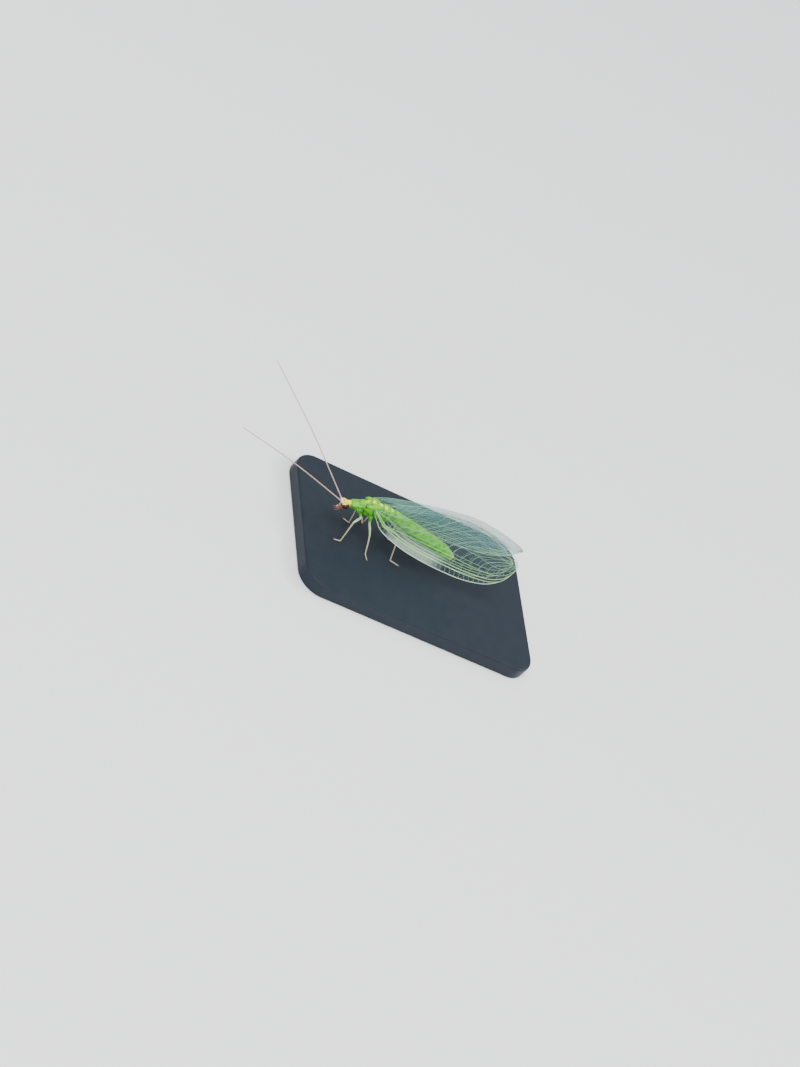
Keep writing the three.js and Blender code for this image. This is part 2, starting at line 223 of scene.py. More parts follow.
def smooth_path(points, steps):
    """Points along a smooth curve through the given ones."""
    padded = [points[0], *points, points[-1]]
    path = []
    for before, start, end, after in zip(padded, padded[1:], padded[2:], padded[3:]):
        bend_out = (end - before) * 0.5
        bend_in = (after - start) * 0.5
        for step in range(steps):
            t = step / steps
            path.append(
                start * (2 * t**3 - 3 * t**2 + 1) + bend_out * (t**3 - 2 * t**2 + t)
                + end * (3 * t**2 - 2 * t**3) + bend_in * (t**3 - t**2)
            )
    return [*path, points[-1]]


# %% [markdown]
# ## Finishes
#
# Every finish is made with the same few moves: a node is added, and its sockets
# are wired or given a value. A small class keeps these moves short. Textures lie
# on the piece's own coordinates.

# %% Wiring nodes
class Wiring:
    """Short ways to add nodes to a node tree."""

    def __init__(self, tree):
        self.nodes, self.links = tree.nodes, tree.links

    def put(self, socket, value):
        """Wires another socket to this one, or gives it a colour or a number."""
        if isinstance(value, bpy.types.NodeSocket):
            self.links.new(value, socket)
        elif isinstance(value, tuple):
            socket.default_value = (*value, 1.0)
        else:
            socket.default_value = value

    def add(self, kind, inputs):
        node = self.nodes.new("ShaderNode" + kind)
        for name, value in inputs.items():
            self.put(node.inputs[name], value)
        return node

    def texture(self, kind, scale):
        place = self.nodes.new("ShaderNodeTexCoord")
        return self.add("Tex" + kind, {"Vector": place.outputs["Object"], "Scale": scale})

    def attribute(self, name):
        node = self.nodes.new("ShaderNodeAttribute")
        node.attribute_name = name
        return node.outputs["Fac"]

    def mix(self, share, first, second, blend="MIX"):
        node = self.nodes.new("ShaderNodeMix")
        node.data_type = "RGBA"
        node.blend_type = blend
        for name, value in (("Factor", share), ("A", first), ("B", second)):
            self.put(node.inputs[name], value)
        return node.outputs["Result"]

    def ramp(self, value, low, high, start=0.0, end=1.0, kind="SMOOTHSTEP"):
        """Goes from the start value at the low one to the end value at the high one."""
        node = self.add("MapRange", {
            "Value": value, "From Min": low, "From Max": high, "To Min": start, "To Max": end,
        })
        node.interpolation_type = kind
        return node.outputs["Result"]

    def combine(self, operation, *values):
        node = self.nodes.new("ShaderNodeMath")
        node.operation = operation
        for socket, value in zip(node.inputs, values):
            self.put(socket, value)
        return node.outputs[0]


# %% [markdown]
# Insect skin is satin and mottled at a very small scale. The materials share a
# node group that makes the mottling and a bump height from broad noise with a
# finer grain on it. Each material places the group with its own scale.

# %% The shared mottling
GRAIN_FINENESS = 4.0
GRAIN_SHARE = 0.5

mottling = bpy.data.node_groups.new("Skin mottling", "ShaderNodeTree")
for name, way in (("Scale", "INPUT"), ("Mottle", "OUTPUT"), ("Height", "OUTPUT")):
    mottling.interface.new_socket(name, in_out=way, socket_type="NodeSocketFloat")
inside = Wiring(mottling)
scale = inside.nodes.new("NodeGroupInput").outputs["Scale"]
noise_node = inside.texture("Noise", scale)
noise_node.inputs["Detail"].default_value = 4.0
broad = noise_node.outputs["Fac"]
grain = inside.texture("Voronoi", inside.combine("MULTIPLY", scale, GRAIN_FINENESS))
height = inside.combine("MULTIPLY_ADD", grain.outputs["Distance"], GRAIN_SHARE, broad)
results = inside.nodes.new("NodeGroupOutput")
inside.put(results.inputs["Mottle"], broad)
inside.put(results.inputs["Height"], height)
print("shared group:", mottling.name)

# %% [markdown]
# A finish is a material with its shader. It can bump the surface by any height,
# or place the shared mottling, which bumps it and gives a tone to mix colours by.

# %% One finish
class Finish(Wiring):
    def __init__(self, name, roughness, specular=0.5):
        self.material = bpy.data.materials.new(name)
        self.material.use_nodes = True
        super().__init__(self.material.node_tree)
        self.shader = self.nodes["Principled BSDF"]
        self.set("Roughness", roughness)
        self.set("Specular IOR Level", specular)

    def set(self, name, value):
        self.put(self.shader.inputs[name], value)

    def bump(self, height, strength, distance):
        node = self.add("Bump", {"Strength": strength, "Distance": distance, "Height": height})
        self.set("Normal", node.outputs["Normal"])

    def mottle(self, scale, strength, distance):
        group = self.nodes.new("ShaderNodeGroup")
        group.node_tree = mottling
        group.inputs["Scale"].default_value = scale
        self.bump(group.outputs["Height"], strength, distance)
        return group.outputs["Mottle"]


# %% [markdown]
# ## Body
#
# On the insect the head, the three parts of the thorax, the abdomen and the
# legs are one unbroken soft skin. Each is blocked out here from balls and rods,
# as a sculptor would from clay, and then a voxel remesh melts the blocks into
# one surface, which is smoothed.

# %% Head
HEAD_PITCH = 0.5
HEAD_ROLL = -0.2
HEAD_AXIS_Z = -0.79
HEAD_DROP = 0.06


def head_at(x, y, z, side=1):
    """A place on the head, which is tilted a little, with its left side up."""
    x *= side
    up = z - HEAD_AXIS_Z
    across = x * math.cos(HEAD_ROLL) + up * math.sin(HEAD_ROLL)
    height = HEAD_AXIS_Z - HEAD_DROP + up * math.cos(HEAD_ROLL) - x * math.sin(HEAD_ROLL)
    return at(across, y, height)


def head_ball(x, y, z, half, pitch=HEAD_PITCH):
    return ball(head_at(x, y, z), half, pitch=pitch, roll=HEAD_ROLL)


head_forms = [
    head_ball(0, -2.3, -0.77, (0.34, 0.27, 0.28)),
    head_ball(0, -2.32, -0.92, (0.3, 0.24, 0.27)),
    head_ball(0, -2.44, -0.92, (0.25, 0.2, 0.27)),
    head_ball(0, -2.56, -1.1, (0.21, 0.15, 0.18)),
    head_ball(0, -2.7, -1.25, (0.16, 0.11, 0.1)),
]
for side in (-1, 1):
    head_forms.append(head_ball(side * 0.19, -2.42, -1.06, (0.13, 0.2, 0.16), pitch=0.7))
    head_forms.append(head_ball(side * 0.23, -2.34, -0.78, (0.17, 0.3, 0.26), pitch=0.3))
    socket = head_at(0.11, -2.44, -0.76, side), head_at(0.11, -2.54, -0.72, side)
    head_forms.append(rod(*socket, 0.12, 0.115))
print("head blocks:", len(head_forms))

# %% [markdown]
# The thorax has a narrow front ring that carries the head, and two stout ones
# with the wings. Blocks lie close together, so that only low steps are left
# between them, as between the real plates. Each row is a place, three half sizes
# and a pitch, and the side blocks are given for the left.

# %% Thorax
MIDDLE_BLOCKS = [
    (-1.78, -0.58, (0.38, 0.3, 0.33), 0.42),
    (-1.48, -0.49, (0.41, 0.56, 0.37), 0.42),
    (-1.12, -0.28, (0.44, 0.46, 0.43), 0.42),
    (-0.75, -0.2, (0.52, 0.52, 0.48), 0.3),
    (-0.2, -0.06, (0.62, 0.84, 0.56), 0),
    (-0.66, 0.16, (0.38, 0.34, 0.28), 0),
    (0.2, 0.34, (0.25, 0.3, 0.22), 0),
    (0.5, 0.02, (0.48, 0.5, 0.44), 0),
    (1.05, -0.02, (0.54, 0.82, 0.53), 0),
    (1.22, 0.32, (0.2, 0.26, 0.18), 0),
    (-0.45, -0.6, (0.46, 0.6, 0.34), 0),
    (0.5, -0.5, (0.44, 0.66, 0.34), 0),
    (1.25, -0.46, (0.4, 0.5, 0.3), 0),
]
SIDE_BLOCKS = [
    ((0.26, -0.22, 0.27), (0.31, 0.48, 0.26), 0),
    ((0.41, -0.72, 0.19), (0.2, 0.34, 0.16), 0.2),
    ((0.46, -0.45, -0.12), (0.2, 0.34, 0.42), 0.3),
    ((0.46, 0.14, -0.14), (0.18, 0.3, 0.4), 0.3),
    ((0.25, 0.82, 0.26), (0.25, 0.38, 0.23), 0),
    ((0.42, 0.72, -0.12), (0.17, 0.3, 0.36), 0.3),
    ((0.38, 1.2, -0.12), (0.17, 0.3, 0.34), 0.3),
    ((0.3, -1.15, -0.56), (0.18, 0.3, 0.24), 0.3),
    ((0.3, -0.1, -0.66), (0.2, 0.28, 0.24), 0),
    ((0.26, 1.0, -0.62), (0.19, 0.3, 0.2), 0),
]
PRONOTUM_EDGE = (0.3, -1.86, -0.48), (0.36, -1.1, -0.16), 0.09, 0.1
WING_HINGES = [
    ((0.44, -0.32, 0.2), (0.62, -0.32, 0.28), 0.17, 0.1),
    ((0.4, 0.92, 0.16), (0.55, 0.92, 0.24), 0.15, 0.09),
]


def side_rod(side, start, end, *radii):
    return rod(at(*start, side), at(*end, side), *radii)


thorax_forms = [rod(at(0, -2.12, -0.74), at(0, -1.8, -0.62), 0.29, 0.34)]
for y, z, half, pitch in MIDDLE_BLOCKS:
    thorax_forms.append(ball(at(0, y, z), half, pitch=pitch))
for side in (-1, 1):
    thorax_forms.append(side_rod(side, *PRONOTUM_EDGE))
    for place, half, pitch in SIDE_BLOCKS:
        thorax_forms.append(ball(at(*place, side), half, pitch=pitch))
    for hinge in WING_HINGES:
        thorax_forms.append(side_rod(side, *hinge))
print("thorax blocks:", len(thorax_forms))

# %% [markdown]
# The abdomen is a soft tube of nine segments. A filled circle is extruded ring
# by ring along it, and each ring is scaled so that the tube swells in every
# segment, pinches a little between two, and tapers to the tail.

# %% Abdomen
ABDOMEN_FRONT = at(0, 1.55, -0.02)
ABDOMEN_BACK = at(0, 8.35, -1.33)
ABDOMEN_HALF_WIDTH = 0.57
ABDOMEN_HEIGHT_SHARE = 1.08
ABDOMEN_SEGMENTS = 9
RINGS_PER_SEGMENT = 6


def soft_step(value, low, high):
    """0 below the low value and 1 above the high one, for a number or an array."""
    t = np.clip((value - low) / (high - low), 0, 1)
    return t * t * (3 - 2 * t)


def abdomen_size(t):
    """The abdomen's size at a share of its length, as a share of its half width."""
    rise = 0.8 + 0.2 * soft_step(t, 0.0, 0.5)
    tail = 1 - 0.6 * soft_step(t, 0.78, 1.05) ** 1.4
    swell = abs(math.sin(math.pi * t * ABDOMEN_SEGMENTS)) ** 0.6
    return rise * tail * (0.95 + 0.05 * swell)


deselect()
abdomen_way = ABDOMEN_BACK - ABDOMEN_FRONT
abdomen_turn = abdomen_way.to_track_quat("Z", "Y").to_euler()
bpy.ops.mesh.primitive_circle_add(
    vertices=40, radius=ABDOMEN_HALF_WIDTH * abdomen_size(0.0), fill_type="NGON",
    location=ABDOMEN_FRONT, rotation=abdomen_turn,
)
abdomen = bpy.context.object
bpy.ops.object.transform_apply()
bpy.ops.object.mode_set(mode="EDIT")
bpy.ops.mesh.select_all(action="SELECT")
ring_count = ABDOMEN_SEGMENTS * RINGS_PER_SEGMENT
for ring in range(1, ring_count + 1):
    growth = abdomen_size(ring / ring_count) / abdomen_size((ring - 1) / ring_count)
    bpy.ops.mesh.extrude_region_move(
        TRANSFORM_OT_translate={"value": abdomen_way / ring_count}
    )
    centre = ABDOMEN_FRONT + abdomen_way * (ring / ring_count)
    bpy.ops.transform.resize(value=(growth,) * 3, center_override=centre)
bpy.ops.mesh.select_all(action="SELECT")
bpy.ops.transform.resize(
    value=(1, 1, ABDOMEN_HEIGHT_SHARE), center_override=(ABDOMEN_FRONT + ABDOMEN_BACK) / 2
)
bpy.ops.mesh.normals_make_consistent(inside=False)
bpy.ops.object.mode_set(mode="OBJECT")
abdomen_forms = [
    abdomen,
    ball(at(0, 8.36, -1.3), (0.17, 0.17, 0.2)),
    rod(at(0, 1.3, -0.03), at(0, 1.8, -0.05), 0.4, 0.36),
]
print("abdomen rings:", ring_count)

# %% [markdown]
# Each leg has a short hip, a stout upper leg, a long thin shin and a foot of
# five small joints laid on the ground. A table gives the joints of the left legs.
# The right middle and hind legs mirror them, and the right foreleg, which is
# drawn in under the body, has its own row.

# %% Legs
HIP_RADIUS = 0.16
UPPER_LEG_RADII = (0.085, 0.102, 0.07)
SHIN_RADII = (0.066, 0.055, 0.05)
LEG_BOW = 0.04
FOOT_RADII = (0.055, 0.042)
FOOT_JOINTS = 5
FOOT_JOINT_FILL = 0.82
FOOT_JOINT_WAIST = 0.8
GROUND = -FEET_BELOW_THORAX + FOOT_RADII[1]

LEGS = {
    "foreleg_left": [(0.34, -1.2, -0.66), (0.42, -0.62, -1.12), (1.22, -1.36, -1.22),
                     (1.4, -1.16, GROUND), (1.5, -1.75, GROUND)],
    "midleg_left": [(0.4, 0, -0.72), (0.52, 0.2, -1.2), (0.95, 0.74, -1.95),
                    (1.62, 1.2, GROUND), (2.2, 1.3, GROUND)],
    "hindleg_left": [(0.36, 1.1, -0.66), (0.46, 1.4, -1.0), (0.66, 2.85, -1.0),
                     (1.12, 3.65, GROUND), (1.3, 4.4, GROUND)],
    "foreleg_right": [(-0.34, -1.2, -0.66), (-0.42, -0.7, -1.1), (-0.74, -0.85, -1.05),
                      (-1.05, -0.1, GROUND), (-1.25, -0.6, GROUND)],
}
for pair in ("midleg", "hindleg"):
    LEGS[pair + "_right"] = [(-x, y, z) for x, y, z in LEGS[pair + "_left"]]


def leg_forms(joints):
    """The rods of one leg, from its hip to its claw joint."""
    hip, trochanter, knee, ankle, toe = (at(*joint) for joint in joints)
    forms = [rod(hip, trochanter, HIP_RADIUS, UPPER_LEG_RADII[0])]
    for start, end, radii in ((trochanter, knee, UPPER_LEG_RADII), (knee, ankle, SHIN_RADII)):
        middle = start.lerp(end, 0.5) + Vector((0, 0, LEG_BOW))
        forms.append(rod(start, middle, radii[0], radii[1]))
        forms.append(rod(middle, end, radii[1], radii[2]))
    for joint in range(FOOT_JOINTS):
        start = ankle.lerp(toe, joint / FOOT_JOINTS)
        end = ankle.lerp(toe, (joint + FOOT_JOINT_FILL) / FOOT_JOINTS)
        thinner = joint / FOOT_JOINTS
        radius = FOOT_RADII[0] * (1 - thinner) + FOOT_RADII[1] * thinner
        forms.append(rod(start, end, radius * FOOT_JOINT_WAIST, radius, sides=12))
    return forms


all_leg_forms = [form for joints in LEGS.values() for form in leg_forms(joints)]
print("leg blocks:", len(all_leg_forms))

# %% [markdown]
# Now the blocks are melted into one skin. The voxels have to be finer than the
# thinnest foot joint, and the smoothing rounds the creases where blocks meet.

# %% One skin
SKIN_VOXEL = 0.022

skin = join(head_forms + thorax_forms + abdomen_forms + all_leg_forms)
change(skin, "REMESH", mode="VOXEL", voxel_size=SKIN_VOXEL)
change(skin, "SMOOTH", factor=0.5, iterations=5)
print("skin points:", len(skin.data.vertices))

# %% [markdown]
# Tools on the skin's points need to know what lies near them. A leg is measured
# by the distance to its joints' line, and gives two numbers: how far a point
# belongs to a leg, and how far down the leg it lies.

# %% Measures on the skin
LEG_REACH = 0.24
LEG_FADE = 0.08
LEG_PARTS = 4


def distance_to_segment(points, start, end):
    """The distance of each point to a segment, and how far along it that is."""
    start, end = np.array(start), np.array(end)
    way = end - start
    along = np.clip((points - start) @ way / (way @ way), 0, 1)
    nearest = start + along[:, None] * way
    return np.linalg.norm(points - nearest, axis=1), along


def point_values(piece, name):
    """The places or the normals of a piece's points, one row each."""
    values = np.empty(len(piece.data.vertices) * 3)
    piece.data.vertices.foreach_get(name, values)
    return values.reshape(-1, 3)


def leg_measures(points):
    share, down = np.zeros(len(points)), np.zeros(len(points))
    for joints in LEGS.values():
        places = [at(*joint) for joint in joints]
        for index, (start, end) in enumerate(zip(places[1:-1], places[2:]), start=1):
            distance, along = distance_to_segment(points, start, end)
            close = np.clip((LEG_REACH - distance) / LEG_FADE, 0, 1)
            stronger = close > share
            down[stronger] = (index + along[stronger]) / LEG_PARTS
            share = np.maximum(share, close)
    return share, down

# %% [markdown]
# The hard plates of a real lacewing meet in fine seams: over the back, where the
# lobes that hold the flight muscles meet, down the sides from each wing root to
# the hip below it, round the eyes and round every ring of the abdomen. The seams
# are lines drawn from above or from the side, and the skin sinks near each one.

# %% Seams of the plates
SEAM_HALF_WIDTH = 0.034
FACES_UP = (0.1, 0.4)
FACES_OUT = (0.3, 0.6)
SEAMS_FROM_ABOVE = [
    (0.009, [(0, -1.52), (0.2, -1.5), (0.42, -1.4)]),
    (0.012, [(0, -1.86), (0.34, -1.8)]),
    (0.03, [(0, -0.98), (0.25, -1.0), (0.55, -0.92)]),
    (0.028, [(0, -0.4), (0.12, -0.5), (0.27, -0.74), (0.3, -0.9)]),
    (0.022, [(0, -0.4), (0, -0.02)]),
    (0.028, [(0, -0.02), (0.14, 0.04), (0.24, 0.2), (0.3, 0.42)]),
    (0.034, [(0, 0.5), (0.3, 0.46), (0.6, 0.4)]),
    (0.022, [(0, 0.52), (0, 0.96)]),
    (0.034, [(0, 0.96), (0.12, 1.02), (0.2, 1.18), (0.26, 1.42)]),
    (0.04, [(0, 1.52), (0.3, 1.5), (0.55, 1.45)]),
]
SEAMS_FROM_THE_SIDE = [
    (0.03, [(-1.5, -0.3), (-1.2, -0.66)]),
    (0.034, [(-0.94, 0.05), (-0.92, -0.4), (-0.7, -0.8)]),
    (0.04, [(-0.3, 0.12), (-0.16, -0.34), (-0.02, -0.62)]),
    (0.045, [(0.44, 0.35), (0.42, -0.3), (0.5, -0.72)]),
    (0.038, [(0.92, 0.06), (0.98, -0.34), (1.08, -0.6)]),
    (0.034, [(-0.8, -0.4), (-0.2, -0.42), (0.4, -0.44), (1.4, -0.38)]),
    (0.03, [(-0.72, 0.1), (-0.3, 0.14), (0.3, 0.1)]),
]
FACE_WAY = (0, -0.76, -0.65)
FACE_SEAMS = [(0.024, head_at(0, -2.52, -1.0)), (0.03, head_at(0, -2.65, -1.18))]
FACE_START = (2.38, 2.5)
EYE_HALF = (0.22, 0.29, 0.25)
EYE_CENTRE = (0.31, -2.35, -0.78)
EYE_RIM_DEPTH = 0.035
EYE_RIM_REACH = 1.1
EYE_RIM_SPREAD = 0.1
RING_SEAM_DEPTH = 0.024
RINGS_START = (-0.01, 0.01)
RINGS_END = (0.94, 0.98)
SIDE_FOLD_DEPTH = 0.035
SIDE_FOLD_DROP = 0.14
SIDE_FOLD_WIDTH = 0.05


def groove(distance, half_width=SEAM_HALF_WIDTH):
    """1 in the middle of a groove, and softly down to 0 beside it."""
    return np.exp(-((distance / half_width) ** 2))


def seam_depth(points, normals, on_leg):
    """How deep the seams are at each point, in millimetres."""
    local = points - np.array(at(0, 0, 0))
    depth = np.zeros(len(points))
    above = np.stack([np.abs(local[:, 0]), local[:, 1]], axis=1)
    beside = local[:, 1:]
    faces_up = soft_step(normals[:, 2], *FACES_UP)
    faces_out = soft_step(np.abs(normals[:, 0]), *FACES_OUT)
    for seams, flat, weight in (
        (SEAMS_FROM_ABOVE, above, faces_up), (SEAMS_FROM_THE_SIDE, beside, faces_out),
    ):
        for deep, line in seams:
            for start, end in zip(line, line[1:]):
                distance, along = distance_to_segment(flat, start, end)
                depth = np.maximum(depth, deep * weight * groove(distance))

    in_face = soft_step(-local[:, 1], *FACE_START)
    for deep, place in FACE_SEAMS:
        distance = (points - np.array(place)) @ np.array(FACE_WAY)
        depth = np.maximum(depth, deep * in_face * groove(distance))

    for side in (-1, 1):
        centre = np.array(head_at(*EYE_CENTRE, side))
        reach = np.linalg.norm((points - centre) / np.array(EYE_HALF), axis=1)
        depth = np.maximum(depth, EYE_RIM_DEPTH * groove(reach - EYE_RIM_REACH, EYE_RIM_SPREAD))

    way = np.array(abdomen_way)
    along = (points - np.array(ABDOMEN_FRONT)) @ way / (way @ way)
    on_abdomen = soft_step(along, *RINGS_START) * (1 - soft_step(along, *RINGS_END))
    in_segments = along * ABDOMEN_SEGMENTS
    to_ring = np.abs(in_segments - np.round(in_segments)) * np.linalg.norm(way) / ABDOMEN_SEGMENTS
    below_axis = ABDOMEN_FRONT.z + along * way[2] - points[:, 2]
    folds = SIDE_FOLD_DEPTH * faces_out * groove(below_axis - SIDE_FOLD_DROP, SIDE_FOLD_WIDTH)
    depth = np.maximum(depth, on_abdomen * np.maximum(RING_SEAM_DEPTH * groove(to_ring), folds))
    return depth * (1 - on_leg)


# %% [markdown]
# The seams are carved while the skin is still dense, together with a very slight
# unevenness that soft insect skin has. Then thinning out drops points where the
# surface is nearly flat, and the measures are stored for the finish to read.

# %% Carve and thin out
SKIN_KEPT = 0.5
UNEVENNESS = 0.012
UNEVEN_SCALE = 3.2
DEEPEST_SEAM = 0.045
TOP_HIGHLIGHT_BAND = (0.35, 0.95)


def store(piece, name, values):
    layer = piece.data.attributes.new(name, "FLOAT", "POINT")
    layer.data.foreach_set("value", values.astype(np.float32))


places = point_values(skin, "co")
normals = point_values(skin, "normal")
on_leg, down_leg = leg_measures(places)
ripple = np.array([noise.noise(Vector(place) * UNEVEN_SCALE) for place in places])
sink = seam_depth(places, normals, on_leg) - UNEVENNESS * ripple * (1 - on_leg)
carved = places - normals * sink[:, None]
skin.data.vertices.foreach_set("co", carved.ravel())
skin.data.update()
change(skin, "DECIMATE", ratio=SKIN_KEPT)

places = point_values(skin, "co")
normals = point_values(skin, "normal")
on_leg, down_leg = leg_measures(places)
seam = seam_depth(places, normals, on_leg)
store(skin, "leg_share", on_leg)
store(skin, "leg_along", down_leg)
store(skin, "seam", seam / DEEPEST_SEAM)
# How far each point faces up, which sets the painted highlight on the top of the body.
store(skin, "top_highlight_mask", soft_step(normals[:, 2], *TOP_HIGHLIGHT_BAND))
from_head = places - np.array(at(0, 0, HEAD_AXIS_Z - HEAD_DROP))
head_side = from_head[:, 0] * math.cos(HEAD_ROLL) - from_head[:, 2] * math.sin(HEAD_ROLL)
store(skin, "head_side", np.abs(head_side))
print("points kept:", len(places), "deepest seam, mm:", round(float(seam.max()), 3))

# %% [markdown]
# The body's colour runs from a yellow crown and red-brown face over a mottled
# darker green thorax, with yellow spots down its middle, to a vivid yellow-green
# abdomen that browns at its tip. Each is a mask over the piece's own coordinates.
# A painted highlight lightens the skin that faces up, most on the thorax, and
# painted shade darkens the lower half of the head to olive.

# %% Skin finish
SKIN_GRAIN = 2600.0
ABDOMEN_GREENS = (0.045, 0.36, 0.001), (0.12, 0.52, 0.001)
THORAX_GREENS = (0.025, 0.17, 0.006), (0.07, 0.33, 0.006)
SPOT_YELLOW = (0.66, 0.98, 0.01)
# Painted highlight colour for the skin that faces up.
TOP_PAINTED_HIGHLIGHT = (0.36, 0.86, 0.01)
CROWN_YELLOWS = (0.93, 0.74, 0.0), (0.98, 0.9, 0.0)
# Painted shade colour for the lower half of the head.
TEMPLE_PAINTED_SHADE = (0.22, 0.26, 0.06)
FACE_COLOURS = (0.5, 0.29, 0.2), (0.16, 0.045, 0.03)
SEAM_SHADE = (0.3, 0.42, 0.2)
LEG_COLOURS = (0.33, 0.5, 0.25), (0.44, 0.38, 0.27)
TAIL_BROWN = (0.34, 0.3, 0.06)

# A mask rises from the first value of its band to the second, in millimetres from
# the thorax. The face's band is along plus up, and the shin's a share of the leg.
CROWN_BAND = (-1.99, -2.15)
ABDOMEN_BAND = (1.0, 2.2)
SPOTS_BAND = (2.0, 1.2)
TAIL_BAND = (7.9, 8.4)
TEMPLE_SHADE_BAND = (-0.78, -0.62)
SPOTS_HEIGHT = (0.05, 0.3)
SPOTS_WIDTH = (0.29, 0.03)
SPOT_EDGE = (0.2, 0.85)
FACE_BAND = (-3.23, -3.39)
CHEEK_BAND = (0.04, 0.11)
SHIN_BAND = (0.45, 0.6)
SPOT_WAVE = 561.0
TOP_HIGHLIGHT_SHARE = 0.13
THORAX_TOP_HIGHLIGHT_SHARE = 0.12

coat = Finish("lacewing skin", 0.42, 0.3)
speckle = coat.ramp(coat.mottle(SKIN_GRAIN, 0.35, 0.00004), 0.38, 0.62)
place = coat.nodes.new("ShaderNodeTexCoord")
from_thorax = coat.add("Mapping", {
    "Vector": place.outputs["Object"], "Scale": Vector((1, 1, 1)) / MM, "Location": -at(0, 0, 0),
})
axes = coat.add("SeparateXYZ", {"Vector": from_thorax.outputs["Vector"]})
across, along, up = (axes.outputs[name] for name in ("X", "Y", "Z"))

is_abdomen = coat.ramp(along, *ABDOMEN_BAND)
is_thorax = coat.combine("SUBTRACT", 1.0, is_abdomen)
# Painted highlight: skin that faces up is lightened, more on the thorax than on the abdomen.
top_highlight_strength = coat.combine("MULTIPLY_ADD", is_thorax, THORAX_TOP_HIGHLIGHT_SHARE, TOP_HIGHLIGHT_SHARE)
painted_top_highlight = coat.combine("MULTIPLY", coat.attribute("top_highlight_mask"), top_highlight_strength)

spot_wave = coat.texture("Wave", SPOT_WAVE)
spot_wave.bands_direction = "Y"
is_spot = coat.ramp(spot_wave.outputs["Fac"], *SPOT_EDGE)
for mask in (
    coat.ramp(coat.combine("ABSOLUTE", across), *SPOTS_WIDTH),
    coat.ramp(up, *SPOTS_HEIGHT),
    coat.ramp(along, *SPOTS_BAND),
):
    is_spot = coat.combine("MULTIPLY", is_spot, mask)

is_crown = coat.ramp(along, *CROWN_BAND)
crown_yellow = coat.mix(speckle, *CROWN_YELLOWS)
# Painted shade: the lower half of the head is darkened to olive, the top stays yellow.
crown_colour = coat.mix(coat.ramp(up, *TEMPLE_SHADE_BAND), TEMPLE_PAINTED_SHADE, crown_yellow)
is_face = coat.ramp(coat.combine("ADD", along, up), *FACE_BAND)
cheeks = coat.ramp(coat.attribute("head_side"), *CHEEK_BAND)
shin = coat.ramp(coat.attribute("leg_along"), *SHIN_BAND)

colour = coat.mix(speckle, *THORAX_GREENS)
for share, layer in (
    (is_abdomen, coat.mix(speckle, *ABDOMEN_GREENS)),
    (painted_top_highlight, TOP_PAINTED_HIGHLIGHT),
    (is_spot, SPOT_YELLOW),
    (is_crown, crown_colour),
    (coat.combine("MULTIPLY", is_face, is_crown), coat.mix(cheeks, *FACE_COLOURS)),
    (coat.ramp(along, *TAIL_BAND), TAIL_BROWN),
    (coat.attribute("leg_share"), coat.mix(shin, *LEG_COLOURS)),
):
    colour = coat.mix(share, colour, layer)
coat.set("Base Color", coat.mix(coat.attribute("seam"), colour, SEAM_SHADE, "MULTIPLY"))
coat.set("Subsurface Weight", 0.1)
coat.set("Subsurface Radius", Vector((0.0004, 0.0006, 0.0002)))
coat.set("Subsurface Scale", 1.0)

FLESH_NODES = ["head", "prothorax", "mesothorax", "metathorax", "abdomen", *LEGS]
settle(skin, "lacewing_skin", coat, FLESH_NODES)

# %% [markdown]
# ## Eyes
#
# A lacewing's compound eyes are glossy domes on the sides of its head. Their
# colour holds a painted reflection: golden above and in front, as if they catch
# the light, and nearly black below. Each is a ball sunk into the skin, with a
# fine pattern of facets in its finish.

# %% Eyes
EYE_PITCH = 0.2
EYE_FACETS = 42000.0
# Painted reflection: gold where the eye faces up and forward, nearly black elsewhere.
REFLECTION_WAY = (-0.4, -0.57, 0.82)
REFLECTION_BAND = (0.15, 0.185)
EYE_REFLECTION_COLOURS = (0.02, 0.006, 0.008), (0.85, 0.68, 0.05)

eye_look = Finish("compound eye", 0.16, 0.32)
eye_look.bump(eye_look.texture("Voronoi", EYE_FACETS).outputs["Distance"], 0.4, 0.00001)
eye_look.set("Base Color", eye_look.mix(eye_look.attribute("painted_reflection"), *EYE_REFLECTION_COLOURS))

for side, word in ((1, "left"), (-1, "right")):
    centre = head_at(*EYE_CENTRE, side)
    eye = ball(centre, EYE_HALF, pitch=EYE_PITCH, roll=HEAD_ROLL, segments=64, rings=48)
    bpy.ops.object.transform_apply()
    way_out = (point_values(eye, "co") - np.array(centre)) * np.array((side, 1, 1))
    # Marks the painted reflection on the side that faces up and forward.
    store(eye, "painted_reflection", soft_step(way_out @ np.array(REFLECTION_WAY), *REFLECTION_BAND))
    settle(eye, f"eye_dome_{word}", eye_look, [f"eye_{word}"])

# %% [markdown]
# ## Mouth parts
#
# Under the face hang two pairs of short jointed feelers, the palps, and the
# tips of the jaws. They are too fine for the voxels of the skin, so they are
# modelled as rods of their own, with a joint bulging between two rods.

# %% Palps and jaws
HORN_BROWNS = (0.08, 0.035, 0.025), (0.2, 0.1, 0.07)
horn_look = Finish("brown horn", 0.35)
horn_tone = horn_look.mottle(4000.0, 0.25, 0.00001)
horn_look.set("Base Color", horn_look.mix(horn_tone, *HORN_BROWNS))

OUTER_PALP = [(0.17, -2.54, -1.22), (0.24, -2.63, -1.33), (0.27, -2.73, -1.41),
              (0.25, -2.84, -1.46), (0.21, -2.92, -1.54)]
INNER_PALP = [(0.07, -2.6, -1.3), (0.11, -2.67, -1.42), (0.11, -2.75, -1.5), (0.08, -2.8, -1.58)]
JAW = [(0.13, -2.6, -1.2), (0.13, -2.74, -1.33), (0.03, -2.82, -1.4)]
MOUTH_RADII = ((OUTER_PALP, 0.026), (INNER_PALP, 0.022), (JAW, 0.046))
THINNER_A_JOINT = 0.12
JOINT_TAPER = 0.85

